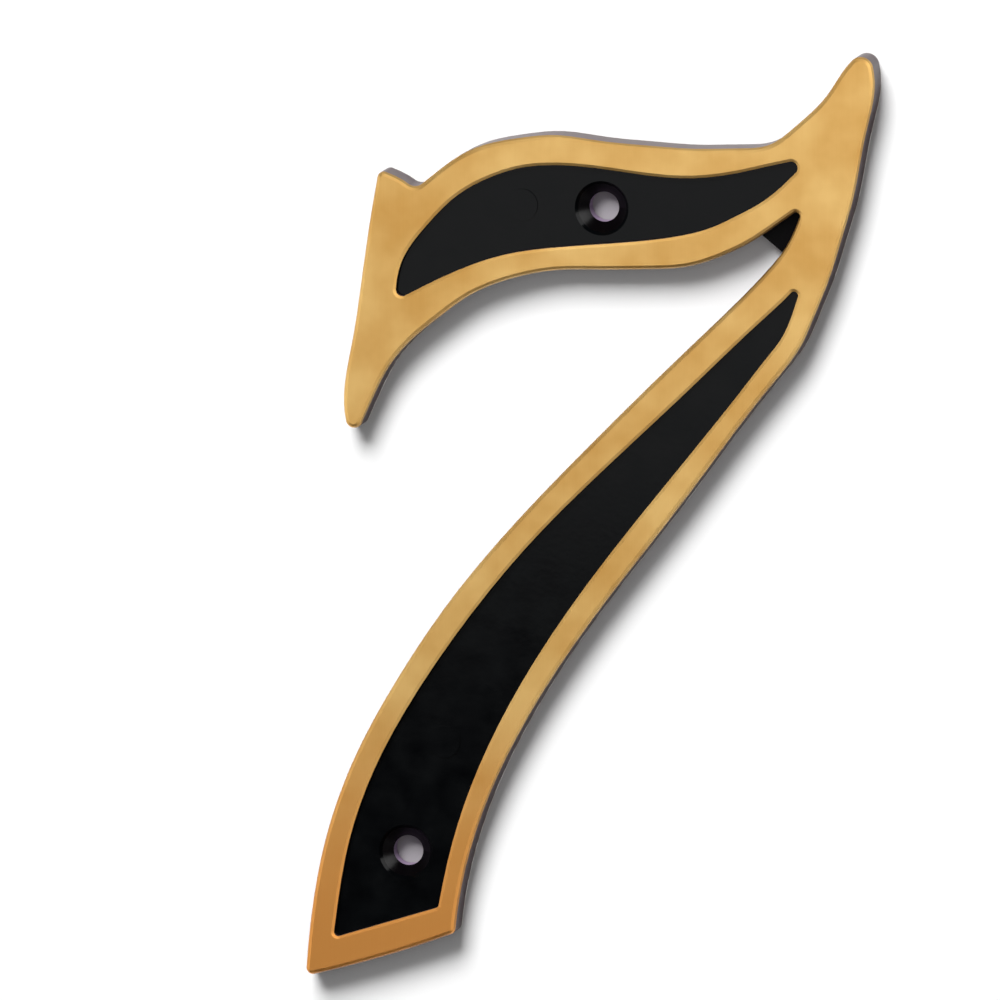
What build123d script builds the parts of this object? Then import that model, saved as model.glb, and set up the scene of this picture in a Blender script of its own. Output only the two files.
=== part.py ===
"""House number 7: one brass casting with two enamelled recesses.

The number is a flat-backed casting that two countersunk screws hold to a wall. A raised rim
follows every stroke and is linished back to bright metal. Inside the rim lie two recesses,
one along the arm and one down the leg, whose floors carry black enamel. In the sharp crotch
between arm and leg the casting closes to a thin web, set back from the face.

The shapes are drawn from the front, lying down, with heights counted from the back. At the
end they are stood upright: front toward -Y, back in the plane Y = 0, and the origin on
the back, in the middle of the outline. Lengths are in millimetres.
"""

import os
from math import radians, tan

from build123d import *

# Overall form
number_height = 100.0
casting_thickness = 3.5
rim_width = 2.4
foot_rim_width = 3.1
recess_depth = 1.0
enamel_thickness = 0.3
web_thickness = 1.8

# Corners of the strokes and recesses, rounded as seen from the front
horn_tip_radius = 1.3
serif_tip_radius = 0.9
corner_radius = 0.7
notch_radius = 1.2
crotch_radius = 0.4
arm_recess_corner_radius = 0.7
leg_recess_corner_radius = 0.45

# The linishing belt rounds the face's outer edge and bevels the edges of the recesses
face_edge_radius = 0.6
recess_bevel_width = 0.3
recess_bevel_depth = 0.13

# Two countersunk screw holes
screw_hole_diameter = 3.2
countersink_diameter = 5.8
countersink_angle = 90.0

# Round marks of the die's ejector pins, raised on the recess floors
pin_mark_diameter = 3.4
pin_mark_height = 0.15

# The outline is drawn for a number of this height, whose middle lies at this height
drawn_height = 99.98
drawn_middle = -0.243

# Sharp corners of the outline, clockwise, before they are rounded: (x, z), and where a recess
# lies behind the corner, how many rim widths the raised rim spans there
serif_tip = (-25.45, 6.95)
serif_corner = (-22.6, 36.1)
notch = (-18.75, 34.1, 1.58)
horn_tip = (30.0, 50.5)
foot_right = (-14.4, -45.2)
foot_left = (-30.6, -50.45)
crotch = (23.2, 33.65, 1.3)

# Points that each edge passes between its corners, clockwise: (x, z, rim widths), with None
# where no recess lies behind the edge
serif_left_edge = [
    (-26.4, 12.3, None), (-25.5, 17.7, None), (-24.85, 21.7, 1.72), (-24.15, 26.8, 1.68),
    (-23.3, 32.3, None),
]
serif_top_edge = [(-21.5, 35.72, None), (-20.4, 35.25, None)]
arm_top_edge = [
    (-17.3, 35.25, 1.38), (-14.9, 37.17, 1.4), (-11.7, 38.92, 1.43), (-7.85, 39.87, 1.3),
    (-3.5, 40.37, 1.31), (1.4, 39.9, 1.2), (6.3, 39.6, 1.3), (11.1, 39.4, 1.29),
    (16.0, 39.6, 1.07), (19.4, 40.05, 0.9), (22.4, 42.2, 1.69), (25.7, 45.5, None),
    (27.65, 48.45, None),
]
leg_right_edge = [
    (30.85, 46.5, None), (29.86, 41.4, None), (28.57, 34.7, None), (27.28, 30.2, 1.09),
    (26.0, 26.06, 1.08), (24.23, 21.64, 0.92), (22.85, 18.6, 0.9), (21.15, 16.2, 0.92),
    (18.56, 12.98, 0.88), (10.36, 1.88, 1.07), (1.96, -9.1, 1.1), (-5.4, -19.95, 1.0),
    (-10.88, -30.83, 0.88), (-13.0, -37.22, 0.83), (-14.0, -42.0, 0.84),
]
foot_edge = [(-22.4, -48.1, None)]
leg_left_edge = [
    (-30.03, -44.2, 1.13), (-28.45, -35.7, 1.07), (-25.45, -27.2, 1.03), (-20.8, -18.5, 1.05),
    (-14.8, -9.5, 1.11), (-7.6, -0.8, 1.1), (0.91, 8.19, 1.22), (9.74, 17.06, 1.33),
    (16.4, 23.6, 1.34), (19.4, 26.8, 1.43), (21.4, 29.4, 1.45), (22.5, 31.7, None),
]
arm_bottom_edge = [
    (20.9, 32.0, 1.19), (17.6, 29.7, 1.31), (14.35, 28.05, 1.34), (11.05, 26.92, 1.4),
    (6.3, 26.43, 1.27), (1.4, 26.23, 1.13), (-3.5, 26.0, 1.01), (-8.25, 24.95, 1.1),
    (-13.15, 22.8, 1.24), (-15.9, 20.75, 1.52), (-18.55, 18.55, None), (-21.2, 15.6, None),
    (-23.4, 11.45, None),
]

# Places on the recess floors
upper_hole = (1.4, 32.7)
lower_hole = (-19.8, -36.8)
upper_pin_mark = (-7.2, 32.8)
lower_pin_mark = (-15.6, -24.8)

# How far a rim's inner edge is drawn on past the corner of its recess
rim_run_out = 12.0

# The web's corners, which lie inside the arm, the leg and the root of the horn
web_corners = [(17.6, 31.0), (21.2, 28.1), (23.6, 34.6)]

drawn_scale = number_height / drawn_height
floor_height = casting_thickness - recess_depth
enamel_height = floor_height + enamel_thickness
# Longer than any stroke, for the ends of the rims' inner edges
reach = number_height


def scaled(point):
    """A drawn point at the number's own height, from the middle of the outline."""
    return Vector(point[0], point[1] - drawn_middle) * drawn_scale


def edge_curve(start, edge, end):
    """The outline's curve from one corner through an edge's points to the next corner."""
    return Spline(*[scaled(point) for point in [start, *edge, end]])


def round_corner(face, corner, radius):
    """Round the corner of a face that lies nearest to a point."""
    nearest = face.vertices().sort_by_distance(corner)[0]
    return fillet(nearest, radius)


def number_outline():
    """The closed shape of the whole number, with its corners rounded."""
    outline = make_face(
        [
            edge_curve(serif_tip, serif_left_edge, serif_corner),
            edge_curve(serif_corner, serif_top_edge, notch),
            edge_curve(notch, arm_top_edge, horn_tip),
            edge_curve(horn_tip, leg_right_edge, foot_right),
            edge_curve(foot_right, foot_edge, foot_left),
            edge_curve(foot_left, leg_left_edge, crotch),
            edge_curve(crotch, arm_bottom_edge, serif_tip),
        ]
    )
    roundings = [
        (serif_tip, serif_tip_radius),
        (horn_tip, horn_tip_radius),
        (serif_corner, corner_radius),
        (foot_right, corner_radius),
        (foot_left, corner_radius),
        (notch, notch_radius),
        (crotch, crotch_radius),
    ]
    for corner, radius in roundings:
        outline = round_corner(outline, scaled(corner), radius)
    return outline


def rim_inner_edge(edge):
    """The curve across the rim from an edge, on the right of the way the edge runs."""
    points = [scaled(point) for point in edge]
    inner = []
    for index, (x, z, rim) in enumerate(edge):
        if rim is None:
            continue
        before = points[max(index - 1, 0)]
        after = points[min(index + 1, len(points) - 1)]
        inward = (after - before).normalized().rotate(Axis.Z, -90)
        inner.append(points[index] + inward * rim_width * rim)
    run_in = inner[0] + (inner[0] - inner[1]).normalized() * rim_run_out
    run_out = inner[-1] + (inner[-1] - inner[-2]).normalized() * rim_run_out
    return Spline(run_in, *inner, run_out)


def inside_of(curve, toward):
    """The ground on the inner side of a rim's inner edge, running past all of the stroke."""
    start = curve @ 0 - (curve % 0) * reach
    end = curve @ 1 + (curve % 1) * reach
    far = Vector(*toward) * reach
    border = Polyline(curve @ 1, end, end + far, start + far, start, curve @ 0)
    return make_face([curve, border])


def recess(borders, corner_radius):
    """The ground inside all of a stroke's rims, rounded where two rims' inner edges meet."""
    grounds = [inside_of(curve, toward) for curve, toward in borders]
    ground = grounds[0]
    for other in grounds[1:]:
        ground = ground & other
    smooth_joints = [curve @ end for curve, toward in borders for end in (0, 1)]
    for corner in [Vector(vertex) for vertex in ground.vertices()]:
        if corner not in smooth_joints:
            ground = round_corner(ground, corner, corner_radius)
    return ground


def arm_recess():
    """The recess along the arm, from the serif to the root of the horn."""
    top = rim_inner_edge([*serif_left_edge, notch, *arm_top_edge])
    bottom = rim_inner_edge([crotch, *arm_bottom_edge])
    return recess([(top, (0, -1)), (bottom, (0, 1))], arm_recess_corner_radius)


def leg_recess():
    """The recess down the leg, from under the crotch to the foot."""
    left = rim_inner_edge(leg_left_edge)
    right = rim_inner_edge(leg_right_edge)
    foot_way = (scaled(foot_left) - scaled(foot_right)).normalized()
    foot_in = foot_way.rotate(Axis.Z, -90) * foot_rim_width
    foot = Line(scaled(foot_right) + foot_in, scaled(foot_left) + foot_in)
    borders = [(left, (1, 0)), (right, (-1, 0)), (foot, (0, 1))]
    return recess(borders, leg_recess_corner_radius)


def screw_hole(place):
    """All that a countersunk hole cuts away, from behind the back to in front of the face."""
    bore_radius = screw_hole_diameter / 2
    head_radius = countersink_diameter / 2
    head_depth = (head_radius - bore_radius) / tan(radians(countersink_angle / 2))
    profile = Polyline(
        (0, -casting_thickness),
        (bore_radius, -casting_thickness),
        (bore_radius, enamel_height - head_depth),
        (head_radius, enamel_height),
        (head_radius, 2 * casting_thickness),
        (0, 2 * casting_thickness),
        close=True,
    )
    return Pos(*scaled(place)) * revolve(Plane.XZ * make_face(profile), Axis.Z)


def pin_mark(place, height):
    """The raised round mark of an ejector pin on a surface at a given height."""
    disc = Circle(pin_mark_diameter / 2)
    return Pos(*scaled(place)) * Pos(0, 0, height) * extrude(disc, pin_mark_height)


def linished_plate():
    """The outline at full thickness, its front edge rounded off by the belt in two flats.

    The flats lie at 30 and 60 degrees to the face and touch an arc of the edge's radius. The
    first reaches from the face down the wall, and the second takes off its lower edge.
    """
    plate = extrude(number_outline(), casting_thickness)
    front = plate.faces().sort_by(Axis.Z)[-1]
    across = face_edge_radius * (1 - tan(radians(15)))
    down = across * tan(radians(30))
    plate = chamfer(front.edges(), across, down, reference=front)
    level_edges = [edge for edge in plate.edges() if abs((edge @ 0).Z - (edge @ 1).Z) < 0.001]
    lower_edges = [edge for edge in level_edges if 0.001 < casting_thickness - (edge @ 0).Z < 2 * down]
    return chamfer(lower_edges, across - down)


def casting(arm_field, leg_field):
    """The whole number in metal, with its recesses, web, marks and holes."""
    body = linished_plate()
    body -= Pos(0, 0, floor_height) * extrude(arm_field, recess_depth)
    body -= Pos(0, 0, floor_height) * extrude(leg_field, recess_depth)
    face = body.faces().sort_by(Axis.Z)[-1]
    recess_edges = [edge for wire in face.inner_wires() for edge in wire.edges()]
    body = chamfer(recess_edges, recess_bevel_width, recess_bevel_depth, reference=face)
    web = make_face(Polyline(*[scaled(corner) for corner in web_corners], close=True))
    body += extrude(web, web_thickness)
    body += pin_mark(upper_pin_mark, floor_height)
    body += pin_mark(lower_pin_mark, floor_height)
    return body - screw_hole(upper_hole) - screw_hole(lower_hole)


def enamel(field, mark, hole):
    """The enamel on one recess floor, of even thickness over the pin mark."""
    layer = Pos(0, 0, floor_height) * extrude(field, enamel_thickness)
    layer += pin_mark(mark, enamel_height)
    layer -= pin_mark(mark, floor_height)
    return layer - screw_hole(hole)


arm_field = arm_recess()
leg_field = leg_recess()
parts = {
    "number_casting": casting(arm_field, leg_field),
    "upper_enamel": enamel(arm_field, upper_pin_mark, upper_hole),
    "leg_enamel": enamel(leg_field, lower_pin_mark, lower_hole),
}

os.makedirs("parts", exist_ok=True)
for name, shape in parts.items():
    # Plane.XZ turns the drawn heights toward the front, -Y
    export_step(Plane.XZ * shape, f"parts/{name}.step")
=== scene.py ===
"""The look of a cast brass house number with black enamelled recesses, hung on a white wall.

The casting and its two layers of enamel come from the frame, in metres, upright, with the
front toward -Y and the flat back in the plane Y = 0. This file gives them their finishes, and
adds the wall, the lights and the camera.
"""

from math import cos, pi, radians, sin

import bpy
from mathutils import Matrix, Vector


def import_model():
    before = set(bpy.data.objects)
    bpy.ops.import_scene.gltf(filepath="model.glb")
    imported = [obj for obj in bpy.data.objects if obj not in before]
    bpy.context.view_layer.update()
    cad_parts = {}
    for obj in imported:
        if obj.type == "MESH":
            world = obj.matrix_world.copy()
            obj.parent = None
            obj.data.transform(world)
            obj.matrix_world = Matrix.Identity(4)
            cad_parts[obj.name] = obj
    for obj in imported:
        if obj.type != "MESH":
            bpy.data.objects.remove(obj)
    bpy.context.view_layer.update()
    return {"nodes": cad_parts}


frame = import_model()

MM = 0.001

# The casting, from its face to its flat back
CASTING_THICKNESS = 3.5 * MM

# The belt has bared the metal down to this depth under the face, just past the rounded edge
BARED_DEPTH = 0.46 * MM

# All that stands further forward than this counts as the front, and not as the flat back
BACK_MARGIN = 0.01 * MM

# One line of the linishing belt: its size in X, Y and Z. Real lines are about 0.05 mm wide, too
# fine to show here, so they are drawn three times as wide
BELT_LINE = (0.15 * MM, 0.6 * MM, 9.0 * MM)
BELT_LINE_DEPTH = 0.02 * MM

# The size of a patch or grain in the other patterns, and how deep their bump is
COAT_PATCH = 4.0 * MM
DULLED_PATCH = 6.0 * MM
MOULD_GRAIN = 0.4 * MM
MOULD_GRAIN_DEPTH = 0.06 * MM
DUST_PATCH = 3.0 * MM
ORANGE_PEEL = 0.7 * MM
ORANGE_PEEL_DEPTH = 0.02 * MM

# The heights at which the painted shade of the lower leg starts and is complete
LOWER_SHADE_START = -15.0 * MM
LOWER_SHADE_END = -46.0 * MM

# The wall fills the picture from any side view up to about 85 degrees
WALL_SIZE = 1200.0 * MM
WALL_GAP = 0.05 * MM

# The cutter of the wall's opening: how far back it is moved, how near its doubled corners lie,
# and the size under which a face that it leaves is a scrap
CUTTER_SHIFT = 1.0 * MM
MERGE_DISTANCE = 0.0001 * MM
SCRAP_AREA = 0.1 * WALL_SIZE**2

# Shallow pits in the wall, one behind each screw hole, painted grey as the shadow seen through the
# hole: X and Z of the middle
PITS = {
    "upper_pit": (1.4 * MM, 32.95 * MM),
    "lower_pit": (-19.8 * MM, -36.56 * MM),
}
PIT_RADIUS = 1.65 * MM
PIT_DEPTH = 0.1 * MM
PIT_SIDES = 64

# A face whose normal has a Y under this faces the front
FACES_FRONT = -0.9

# The bore of a screw hole lies within this distance of its middle
BORE_REACH = 1.75 * MM

# The camera: a long lens, a little to the right of the number and above it
CAMERA_AZIMUTH = radians(13.0)
CAMERA_ELEVATION = radians(9.0)
PICTURE_WIDTH = 105.46 * MM
CAMERA_AIM = Vector((-9.417, -3.5, 1.589)) * MM
CAMERA_LENS = 1200.0
SENSOR_WIDTH = 36.0
CAMERA_CLIP = (0.01, 20.0)


def linear(hex_colour):
    """A colour written as sRGB hex, such as B5853A, as linear red, green, blue and alpha."""
    channels = [int(hex_colour[start : start + 2], 16) / 255 for start in (0, 2, 4)]
    return [
        value / 12.92 if value <= 0.04045 else ((value + 0.055) / 1.055) ** 2.4
        for value in channels
    ] + [1.0]


def add_node(tree, kind, inputs=None, **settings):
    """Add a node with its settings. An input is a value, or the socket that is linked to it."""
    made = tree.nodes.new(kind)
    for name, value in settings.items():
        setattr(made, name, value)
    for name, value in (inputs or {}).items():
        if isinstance(value, bpy.types.NodeSocket):
            tree.links.new(value, made.inputs[name])
        else:
            made.inputs[name].default_value = value
    return made


def new_material(name):
    """An empty material, its node tree, and the output that its shader goes to."""
    material = bpy.data.materials.new(name)
    material.use_nodes = True
    tree = material.node_tree
    tree.nodes.clear()
    return material, tree, add_node(tree, "ShaderNodeOutputMaterial")


def brass_and_stoving_enamel():
    """Cast brass, sprayed black and stoved, then linished on its face.

    The belt takes the black off the face, its rounded edge and the bevels of the recesses, and
    leaves satin metal. The walls, the countersinks and the web keep their thin black coat, and
    the back is bare, dull metal as it was cast.
    """
    material, tree, output = new_material("linished_cast_brass")
    place = add_node(tree, "ShaderNodeTexCoord").outputs["Object"]
    normal = add_node(tree, "ShaderNodeTexCoord").outputs["Normal"]
    position = add_node(tree, "ShaderNodeSeparateXYZ", {"Vector": place}).outputs
    facing = add_node(tree, "ShaderNodeSeparateXYZ", {"Vector": normal}).outputs

    # How squarely a surface faces the front or the back: 1 on the face, 0 on a wall
    turned = add_node(
        tree, "ShaderNodeMath", {0: facing["Y"]}, operation="ABSOLUTE"
    ).outputs["Value"]

    # The coat starts where an edge turns into a wall. On edges that face right, away from the key
    # light, it is painted further up over the lower half of the rounding, in patches about 4 mm
    # long: painted shade on that side
    skin = add_node(
        tree, "ShaderNodeTexNoise", {"Vector": place, "Scale": 1 / COAT_PATCH, "Detail": 2.0}
    ).outputs["Fac"]
    # Painted shade: on edges that face right the coat reaches higher up the rounding than on the
    # left
    right_edge_shade_limit = add_node(
        tree,
        "ShaderNodeMapRange",
        {"Value": skin, "From Min": 0.3, "From Max": 0.7, "To Min": 0.64, "To Max": 0.84},
    ).outputs["Result"]
    coat_limit_with_right_shade = add_node(
        tree,
        "ShaderNodeMapRange",
        {
            "Value": facing["X"],
            "From Min": -0.3,
            "From Max": 0.3,
            "To Min": 0.45,
            "To Max": right_edge_shade_limit,
        },
    ).outputs["Result"]
    wall_coat = add_node(
        tree, "ShaderNodeMapRange", {"Value": turned, "From Min": coat_limit_with_right_shade, "From Max": 0.2}
    ).outputs["Result"]

    # All that lies deeper than the rounded edge is coated, but not the flat back
    depth = add_node(
        tree, "ShaderNodeMath", {0: position["Y"], 1: CASTING_THICKNESS}, operation="ADD"
    ).outputs["Value"]
    deep_coat = add_node(
        tree, "ShaderNodeMath", {0: depth, 1: BARED_DEPTH}, operation="GREATER_THAN"
    ).outputs["Value"]
    all_coat = add_node(
        tree, "ShaderNodeMath", {0: wall_coat, 1: deep_coat}, operation="MAXIMUM"
    ).outputs["Value"]
    front = add_node(
        tree, "ShaderNodeMath", {0: position["Y"], 1: -BACK_MARGIN}, operation="LESS_THAN"
    ).outputs["Value"]
    coated = add_node(
        tree, "ShaderNodeMath", {0: all_coat, 1: front}, operation="MULTIPLY"
    ).outputs["Value"]

    # The belt lines run along the number, and make the satin metal a little uneven
    belt_place = add_node(
        tree,
        "ShaderNodeMapping",
        {"Vector": place, "Scale": [1 / length for length in BELT_LINE]},
    ).outputs["Vector"]
    lines = add_node(
        tree, "ShaderNodeTexNoise", {"Vector": belt_place, "Scale": 1.0, "Detail": 2.0}
    ).outputs["Fac"]
    linished_rough = add_node(
        tree,
        "ShaderNodeMapRange",
        {"Value": lines, "From Min": 0.3, "From Max": 0.7, "To Min": 0.48, "To Max": 0.54},
    ).outputs["Result"]

    # Handling has dulled the metal in soft patches
    patches = add_node(
        tree, "ShaderNodeTexNoise", {"Vector": place, "Scale": 1 / DULLED_PATCH, "Detail": 3.0}
    ).outputs["Fac"]
    patch_tone = add_node(
        tree, "ShaderNodeMapRange", {"Value": patches, "From Min": 0.3, "From Max": 0.7}
    ).outputs["Result"]
    clean_metal = add_node(
        tree,
        "ShaderNodeMix",
        {"Factor": patch_tone, "A": linear("DEAC5F"), "B": linear("F3CA7F")},
        data_type="RGBA",
    ).outputs["Result"]

    # Painted shade: the metal is painted darker and warmer towards the bottom of the leg, and
    # darkest on the foot
    lower_leg_shade = add_node(
        tree,
        "ShaderNodeMapRange",
        {"Value": position["Z"], "From Min": LOWER_SHADE_START, "From Max": LOWER_SHADE_END},
        interpolation_type="SMOOTHSTEP",
    ).outputs["Result"]
    linished_metal = add_node(
        tree,
        "ShaderNodeMix",
        {"Factor": lower_leg_shade, "A": clean_metal, "B": linear("E49F53")},
        data_type="RGBA",
    ).outputs["Result"]

    # The back was never linished: it has a brown skin, and the grain of the mould
    cast_metal = add_node(
        tree,
        "ShaderNodeMix",
        {"Factor": patch_tone, "A": linear("9A7A4C"), "B": linear("B8945C")},
        data_type="RGBA",
    ).outputs["Result"]
    bare_metal = add_node(
        tree,
        "ShaderNodeMix",
        {"Factor": front, "A": cast_metal, "B": linished_metal},
        data_type="RGBA",
    ).outputs["Result"]
    metal_rough = add_node(
        tree, "ShaderNodeMix", {"Factor": front, "A": 0.72, "B": linished_rough}
    ).outputs["Result"]
    grain = add_node(
        tree, "ShaderNodeTexNoise", {"Vector": place, "Scale": 1 / MOULD_GRAIN, "Detail": 3.0}
    ).outputs["Fac"]
    grain_strength = add_node(
        tree, "ShaderNodeMapRange", {"Value": front, "To Min": 0.5, "To Max": 0.0}
    ).outputs["Result"]

    # Painted light: the coat in the bores of the screw holes is painted paler and more violet than
    # on the walls, for the glow and reflections in them
    across = add_node(
        tree, "ShaderNodeCombineXYZ", {"X": position["X"], "Z": position["Z"]}
    ).outputs["Vector"]
    to_upper, to_lower = (
        add_node(
            tree, "ShaderNodeVectorMath", {0: across, 1: (x, 0.0, z)}, operation="DISTANCE"
        ).outputs["Value"]
        for x, z in PITS.values()
    )
    to_hole = add_node(
        tree, "ShaderNodeMath", {0: to_upper, 1: to_lower}, operation="MINIMUM"
    ).outputs["Value"]
    in_bore = add_node(
        tree, "ShaderNodeMath", {0: to_hole, 1: BORE_REACH}, operation="LESS_THAN"
    ).outputs["Value"]
    wall_coat_and_bore_light = add_node(
        tree,
        "ShaderNodeMix",
        {"Factor": in_bore, "A": linear("473437"), "B": linear("907C98")},
        data_type="RGBA",
    ).outputs["Result"]

    # The coat is thin and brownish on the walls, and black where it faces the front, in the
    # countersinks and the web. On the web, set back deep in the crotch, the black is also painted
    # shade
    front_black_and_web_shade = add_node(
        tree, "ShaderNodeMapRange", {"Value": turned, "From Min": 0.3, "From Max": 0.6}
    ).outputs["Result"]
    coat = add_node(
        tree,
        "ShaderNodeMix",
        {"Factor": front_black_and_web_shade, "A": wall_coat_and_bore_light, "B": linear("030203")},
        data_type="RGBA",
    ).outputs["Result"]

    # Out of the oven the coat is glossy on walls and cones, and dead matt on the web
    coat_rough = add_node(
        tree,
        "ShaderNodeMapRange",
        {"Value": turned, "From Min": 0.8, "From Max": 0.95, "To Min": 0.28, "To Max": 0.9},
    ).outputs["Result"]

    # The coat goes over the bare metal, and isn't metal itself
    colour = add_node(
        tree,
        "ShaderNodeMix",
        {"Factor": coated, "A": bare_metal, "B": coat},
        data_type="RGBA",
    ).outputs["Result"]
    metallic = add_node(
        tree, "ShaderNodeMapRange", {"Value": coated, "To Min": 1.0, "To Max": 0.0}
    ).outputs["Result"]
    rough = add_node(
        tree, "ShaderNodeMix", {"Factor": coated, "A": metal_rough, "B": coat_rough}
    ).outputs["Result"]
    grain_bump = add_node(
        tree,
        "ShaderNodeBump",
        {"Height": grain, "Strength": grain_strength, "Distance": MOULD_GRAIN_DEPTH},
    ).outputs["Normal"]
    line_bump = add_node(
        tree,
        "ShaderNodeBump",
        {
            "Height": lines,
            "Strength": 0.05,
            "Distance": BELT_LINE_DEPTH,
            "Normal": grain_bump,
        },
    ).outputs["Normal"]
    shader = add_node(
        tree,
        "ShaderNodeBsdfPrincipled",
        {
            "Base Color": colour,
            "Metallic": metallic,
            "Roughness": rough,
            "Normal": line_bump,
            "Specular IOR Level": 0.18,
        },
    ).outputs["BSDF"]
    tree.links.new(shader, output.inputs["Surface"])
    return material


def black_enamel():
    """Black stoving enamel, flooded into the recesses and baked.

    It levels to a soft gloss with a faint orange peel, and picks up a little dust.
    """
    material, tree, output = new_material("black_stoving_enamel")
    place = add_node(tree, "ShaderNodeTexCoord").outputs["Object"]
    dust = add_node(
        tree, "ShaderNodeTexNoise", {"Vector": place, "Scale": 1 / DUST_PATCH, "Detail": 5.0}
    ).outputs["Fac"]
    colour = add_node(
        tree,
        "ShaderNodeMix",
        {"Factor": dust, "A": linear("010102"), "B": linear("07090A")},
        data_type="RGBA",
    ).outputs["Result"]
    rough = add_node(
        tree,
        "ShaderNodeMapRange",
        {"Value": dust, "From Min": 0.3, "From Max": 0.7, "To Min": 0.12, "To Max": 0.2},
    ).outputs["Result"]
    peel = add_node(
        tree, "ShaderNodeTexNoise", {"Vector": place, "Scale": 1 / ORANGE_PEEL, "Detail": 1.0}
    ).outputs["Fac"]
    peel_bump = add_node(
        tree,
        "ShaderNodeBump",
        {"Height": peel, "Strength": 0.15, "Distance": ORANGE_PEEL_DEPTH},
    ).outputs["Normal"]
    shader = add_node(
        tree,
        "ShaderNodeBsdfPrincipled",
        {
            "Base Color": colour,
            "Roughness": rough,
            "Normal": peel_bump,
            "Specular IOR Level": 0.1,
        },
    ).outputs["BSDF"]
    tree.links.new(shader, output.inputs["Surface"])
    return material


def one_sided_paint(name, colour):
    """Matt paint that is there from its front alone, and clear from behind."""
    material, tree, output = new_material(name)
    paint = add_node(
        tree, "ShaderNodeBsdfDiffuse", {"Color": linear(colour), "Roughness": 1.0}
    ).outputs["BSDF"]
    clear = add_node(tree, "ShaderNodeBsdfTransparent").outputs["BSDF"]
    behind = add_node(tree, "ShaderNodeNewGeometry").outputs["Backfacing"]
    side = add_node(
        tree, "ShaderNodeMixShader", {0: behind, 1: paint, 2: clear}
    ).outputs["Shader"]
    tree.links.new(side, output.inputs["Surface"])
    return material


def select_only(thing):
    """Select one thing alone, and make it the one that the operators act on."""
    bpy.ops.object.select_all(action="DESELECT")
    thing.select_set(True)
    bpy.context.view_layer.objects.active = thing


def delete_faces(thing, chosen):
    """Delete the faces of a thing that the chosen test holds for."""
    select_only(thing)
    bpy.context.tool_settings.mesh_select_mode = (False, False, True)
    for face in thing.data.polygons:
        face.select = chosen(face)
    bpy.ops.object.mode_set(mode="EDIT")
    bpy.ops.mesh.delete(type="FACE")
    bpy.ops.object.mode_set(mode="OBJECT")


def wall():
    """The white wall behind the number.

    Only its front is there: from behind it is clear. It is open behind the casting, so that the
    back of the casting is seen and lit from behind.
    """
    bpy.ops.object.select_all(action="DESELECT")
    bpy.ops.mesh.primitive_plane_add(
        size=WALL_SIZE, location=(0, WALL_GAP, 0), rotation=(radians(90), 0, 0)
    )
    plane = bpy.context.object
    plane.name = "white_wall"
    bpy.ops.object.transform_apply(location=True, rotation=True, scale=True)

    # A copy of the casting, moved back through the wall, cuts the opening
    casting = frame["nodes"]["number_casting"]
    cutter = casting.copy()
    cutter.data = casting.data.copy()
    bpy.context.scene.collection.objects.link(cutter)
    select_only(cutter)
    cutter.location = (0, CUTTER_SHIFT, 0)
    bpy.ops.object.transform_apply(location=True, rotation=True, scale=True)
    bpy.ops.object.mode_set(mode="EDIT")
    bpy.ops.mesh.select_all(action="SELECT")
    bpy.ops.mesh.remove_doubles(threshold=MERGE_DISTANCE)
    bpy.ops.object.mode_set(mode="OBJECT")
    select_only(plane)
    opening = plane.modifiers.new("opening", "BOOLEAN")
    opening.operation = "DIFFERENCE"
    opening.object = cutter
    bpy.ops.object.modifier_apply(modifier="opening")
    bpy.data.objects.remove(cutter)

    # The cut leaves the wall in two large faces. The rest are the discs inside the screw holes,
    # which make way for the pits, and scraps of the cutter's own back
    delete_faces(plane, lambda face: face.area < SCRAP_AREA)
    plane.data.materials.clear()
    plane.data.materials.append(one_sided_paint("matt_white_emulsion", "F6F6F6"))


def pit_with_painted_shadow(name, x, z):
    """A shallow pit in the wall behind a screw hole, open to the front. Its grey is painted shadow.
    """
    bpy.ops.object.select_all(action="DESELECT")
    bpy.ops.mesh.primitive_cylinder_add(
        vertices=PIT_SIDES,
        radius=PIT_RADIUS,
        depth=PIT_DEPTH,
        location=(x, WALL_GAP + PIT_DEPTH / 2, z),
        rotation=(radians(90), 0, 0),
    )
    pit = bpy.context.object
    pit.name = name
    bpy.ops.object.transform_apply(location=True, rotation=True, scale=True)

    # The cap that faces the front goes, and the rest is turned to face into the pit
    delete_faces(pit, lambda face: face.normal.y < FACES_FRONT)
    bpy.ops.object.mode_set(mode="EDIT")
    bpy.ops.mesh.select_all(action="SELECT")
    bpy.ops.mesh.flip_normals()
    bpy.ops.object.mode_set(mode="OBJECT")
    # Painted shadow: the grey of the pit stands in for the shade seen through the screw hole
    pit.data.materials.append(one_sided_paint("painted_pit_shadow", "ACA9AC"))


def soft_box(name, place, size, radiance, target=(0, 0, 0), diffuse=True, glossy=True):
    """A soft light that points at a target, as bright all over as its radiance says."""
    data = bpy.data.lights.new(name, "AREA")
    data.shape = "RECTANGLE"
    data.size, data.size_y = size
    data.energy = radiance * pi * size[0] * size[1]
    light = bpy.data.objects.new(name, data)
    bpy.context.scene.collection.objects.link(light)
    light.location = place
    aim = Vector(target) - Vector(place)
    light.rotation_euler = aim.to_track_quat("-Z", "Y").to_euler()
    light.visible_camera = False
    light.visible_diffuse = diffuse
    light.visible_glossy = glossy


def world():
    """A pale surround that only the camera sees, so that it doesn't lighten the shadow."""
    made = bpy.data.worlds.new("pale_surround")
    bpy.context.scene.world = made
    made.use_nodes = True
    made.node_tree.nodes["Background"].inputs["Color"].default_value = linear("F2F2F2")
    made.node_tree.nodes["Background"].inputs["Strength"].default_value = 1.0
    made.cycles_visibility.diffuse = False
    made.cycles_visibility.glossy = False


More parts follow.
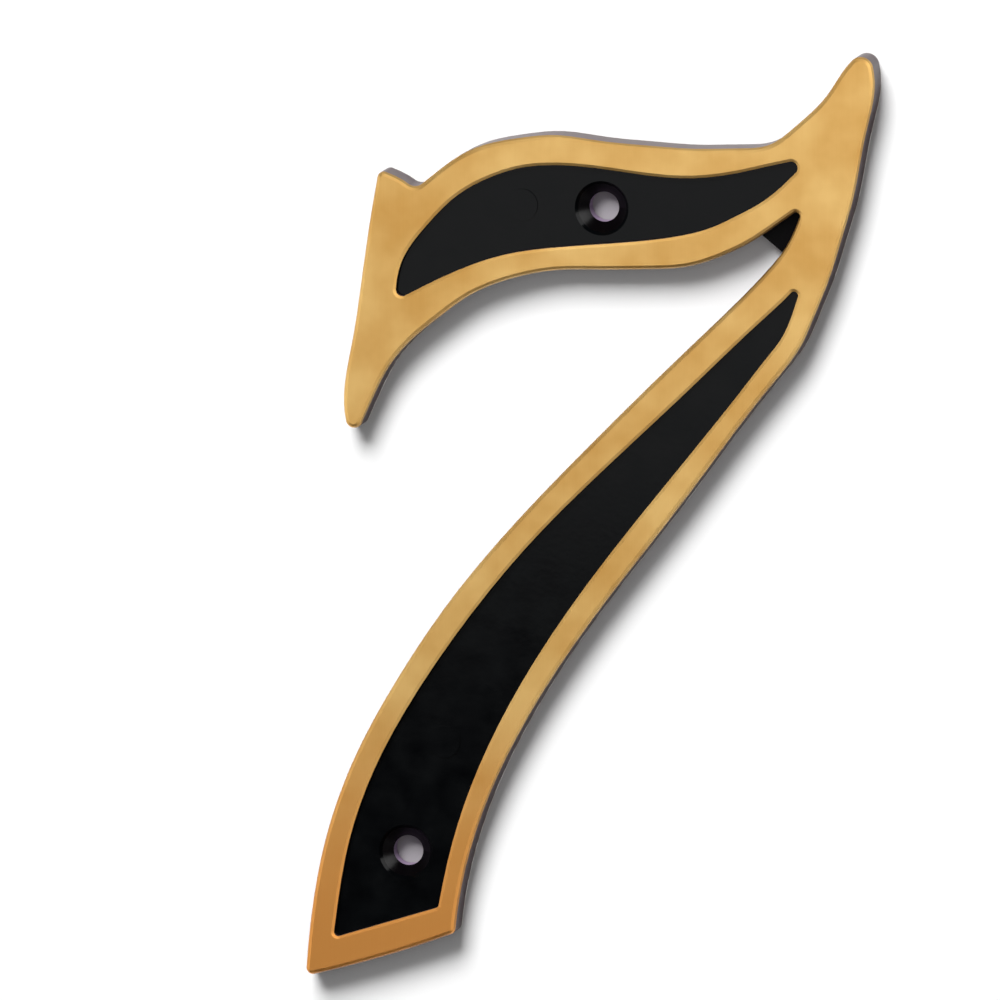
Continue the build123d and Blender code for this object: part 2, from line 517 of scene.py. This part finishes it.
def camera():
    """A long lens at the photograph's angle, with the picture's width measured at its aim."""
    data = bpy.data.cameras.new("camera")
    data.lens = CAMERA_LENS
    data.sensor_width = SENSOR_WIDTH
    data.clip_start, data.clip_end = CAMERA_CLIP
    distance = PICTURE_WIDTH * CAMERA_LENS / SENSOR_WIDTH
    back = Vector(
        (
            sin(CAMERA_AZIMUTH) * cos(CAMERA_ELEVATION),
            -cos(CAMERA_AZIMUTH) * cos(CAMERA_ELEVATION),
            sin(CAMERA_ELEVATION),
        )
    )
    made = bpy.data.objects.new("camera", data)
    bpy.context.scene.collection.objects.link(made)
    made.location = CAMERA_AIM + back * distance
    made.rotation_euler = (-back).to_track_quat("-Z", "Y").to_euler()
    bpy.context.scene.camera = made


finishes = {
    "number_casting": brass_and_stoving_enamel(),
    "upper_enamel": black_enamel(),
    "leg_enamel": black_enamel(),
}
for name, finish in finishes.items():
    frame["nodes"][name].material_slots[0].material = finish

wall()
for name, (x, z) in PITS.items():
    pit_with_painted_shadow(name, x, z)
world()
camera()
bpy.context.scene.view_settings.view_transform = "Standard"

# The key hangs high in front, a little to the left. The fills come from all round the camera and
# from the right
soft_box("key_light", (-0.36, -1.37, 1.41), (1.05, 1.05), 17.4, glossy=False)
soft_box("fill_light", (0.0, -2.0, 0.0), (2.4, 2.4), 0.52, glossy=False)
soft_box("right_fill", (0.9, -0.9, 0.0), (0.6, 0.6), 0.7, glossy=False)

# The cards are there for the metal and the enamel to mirror, and light nothing else
soft_box("corner_card", (0.52, -0.16, 0.27), (0.4, 0.4), 4.0, diffuse=False)
soft_box("front_card", (0.09, -0.5, 0.215), (0.7, 0.6), 1.72, target=(0.09, 0, 0.215), diffuse=False)
soft_box("right_card", (0.42, -0.44, -0.3), (0.55, 0.55), 0.9, diffuse=False)
soft_box("left_card", (-0.75, -0.28, -0.1), (0.5, 0.8), 1.5, diffuse=False)
soft_box("top_card", (-0.2, -0.44, 0.5), (0.4, 0.3), 1.2, diffuse=False)

# The back light is for the flat back, which no other light reaches
soft_box("back_light", (0.3, 1.5, 0.6), (1.2, 1.2), 3.0)
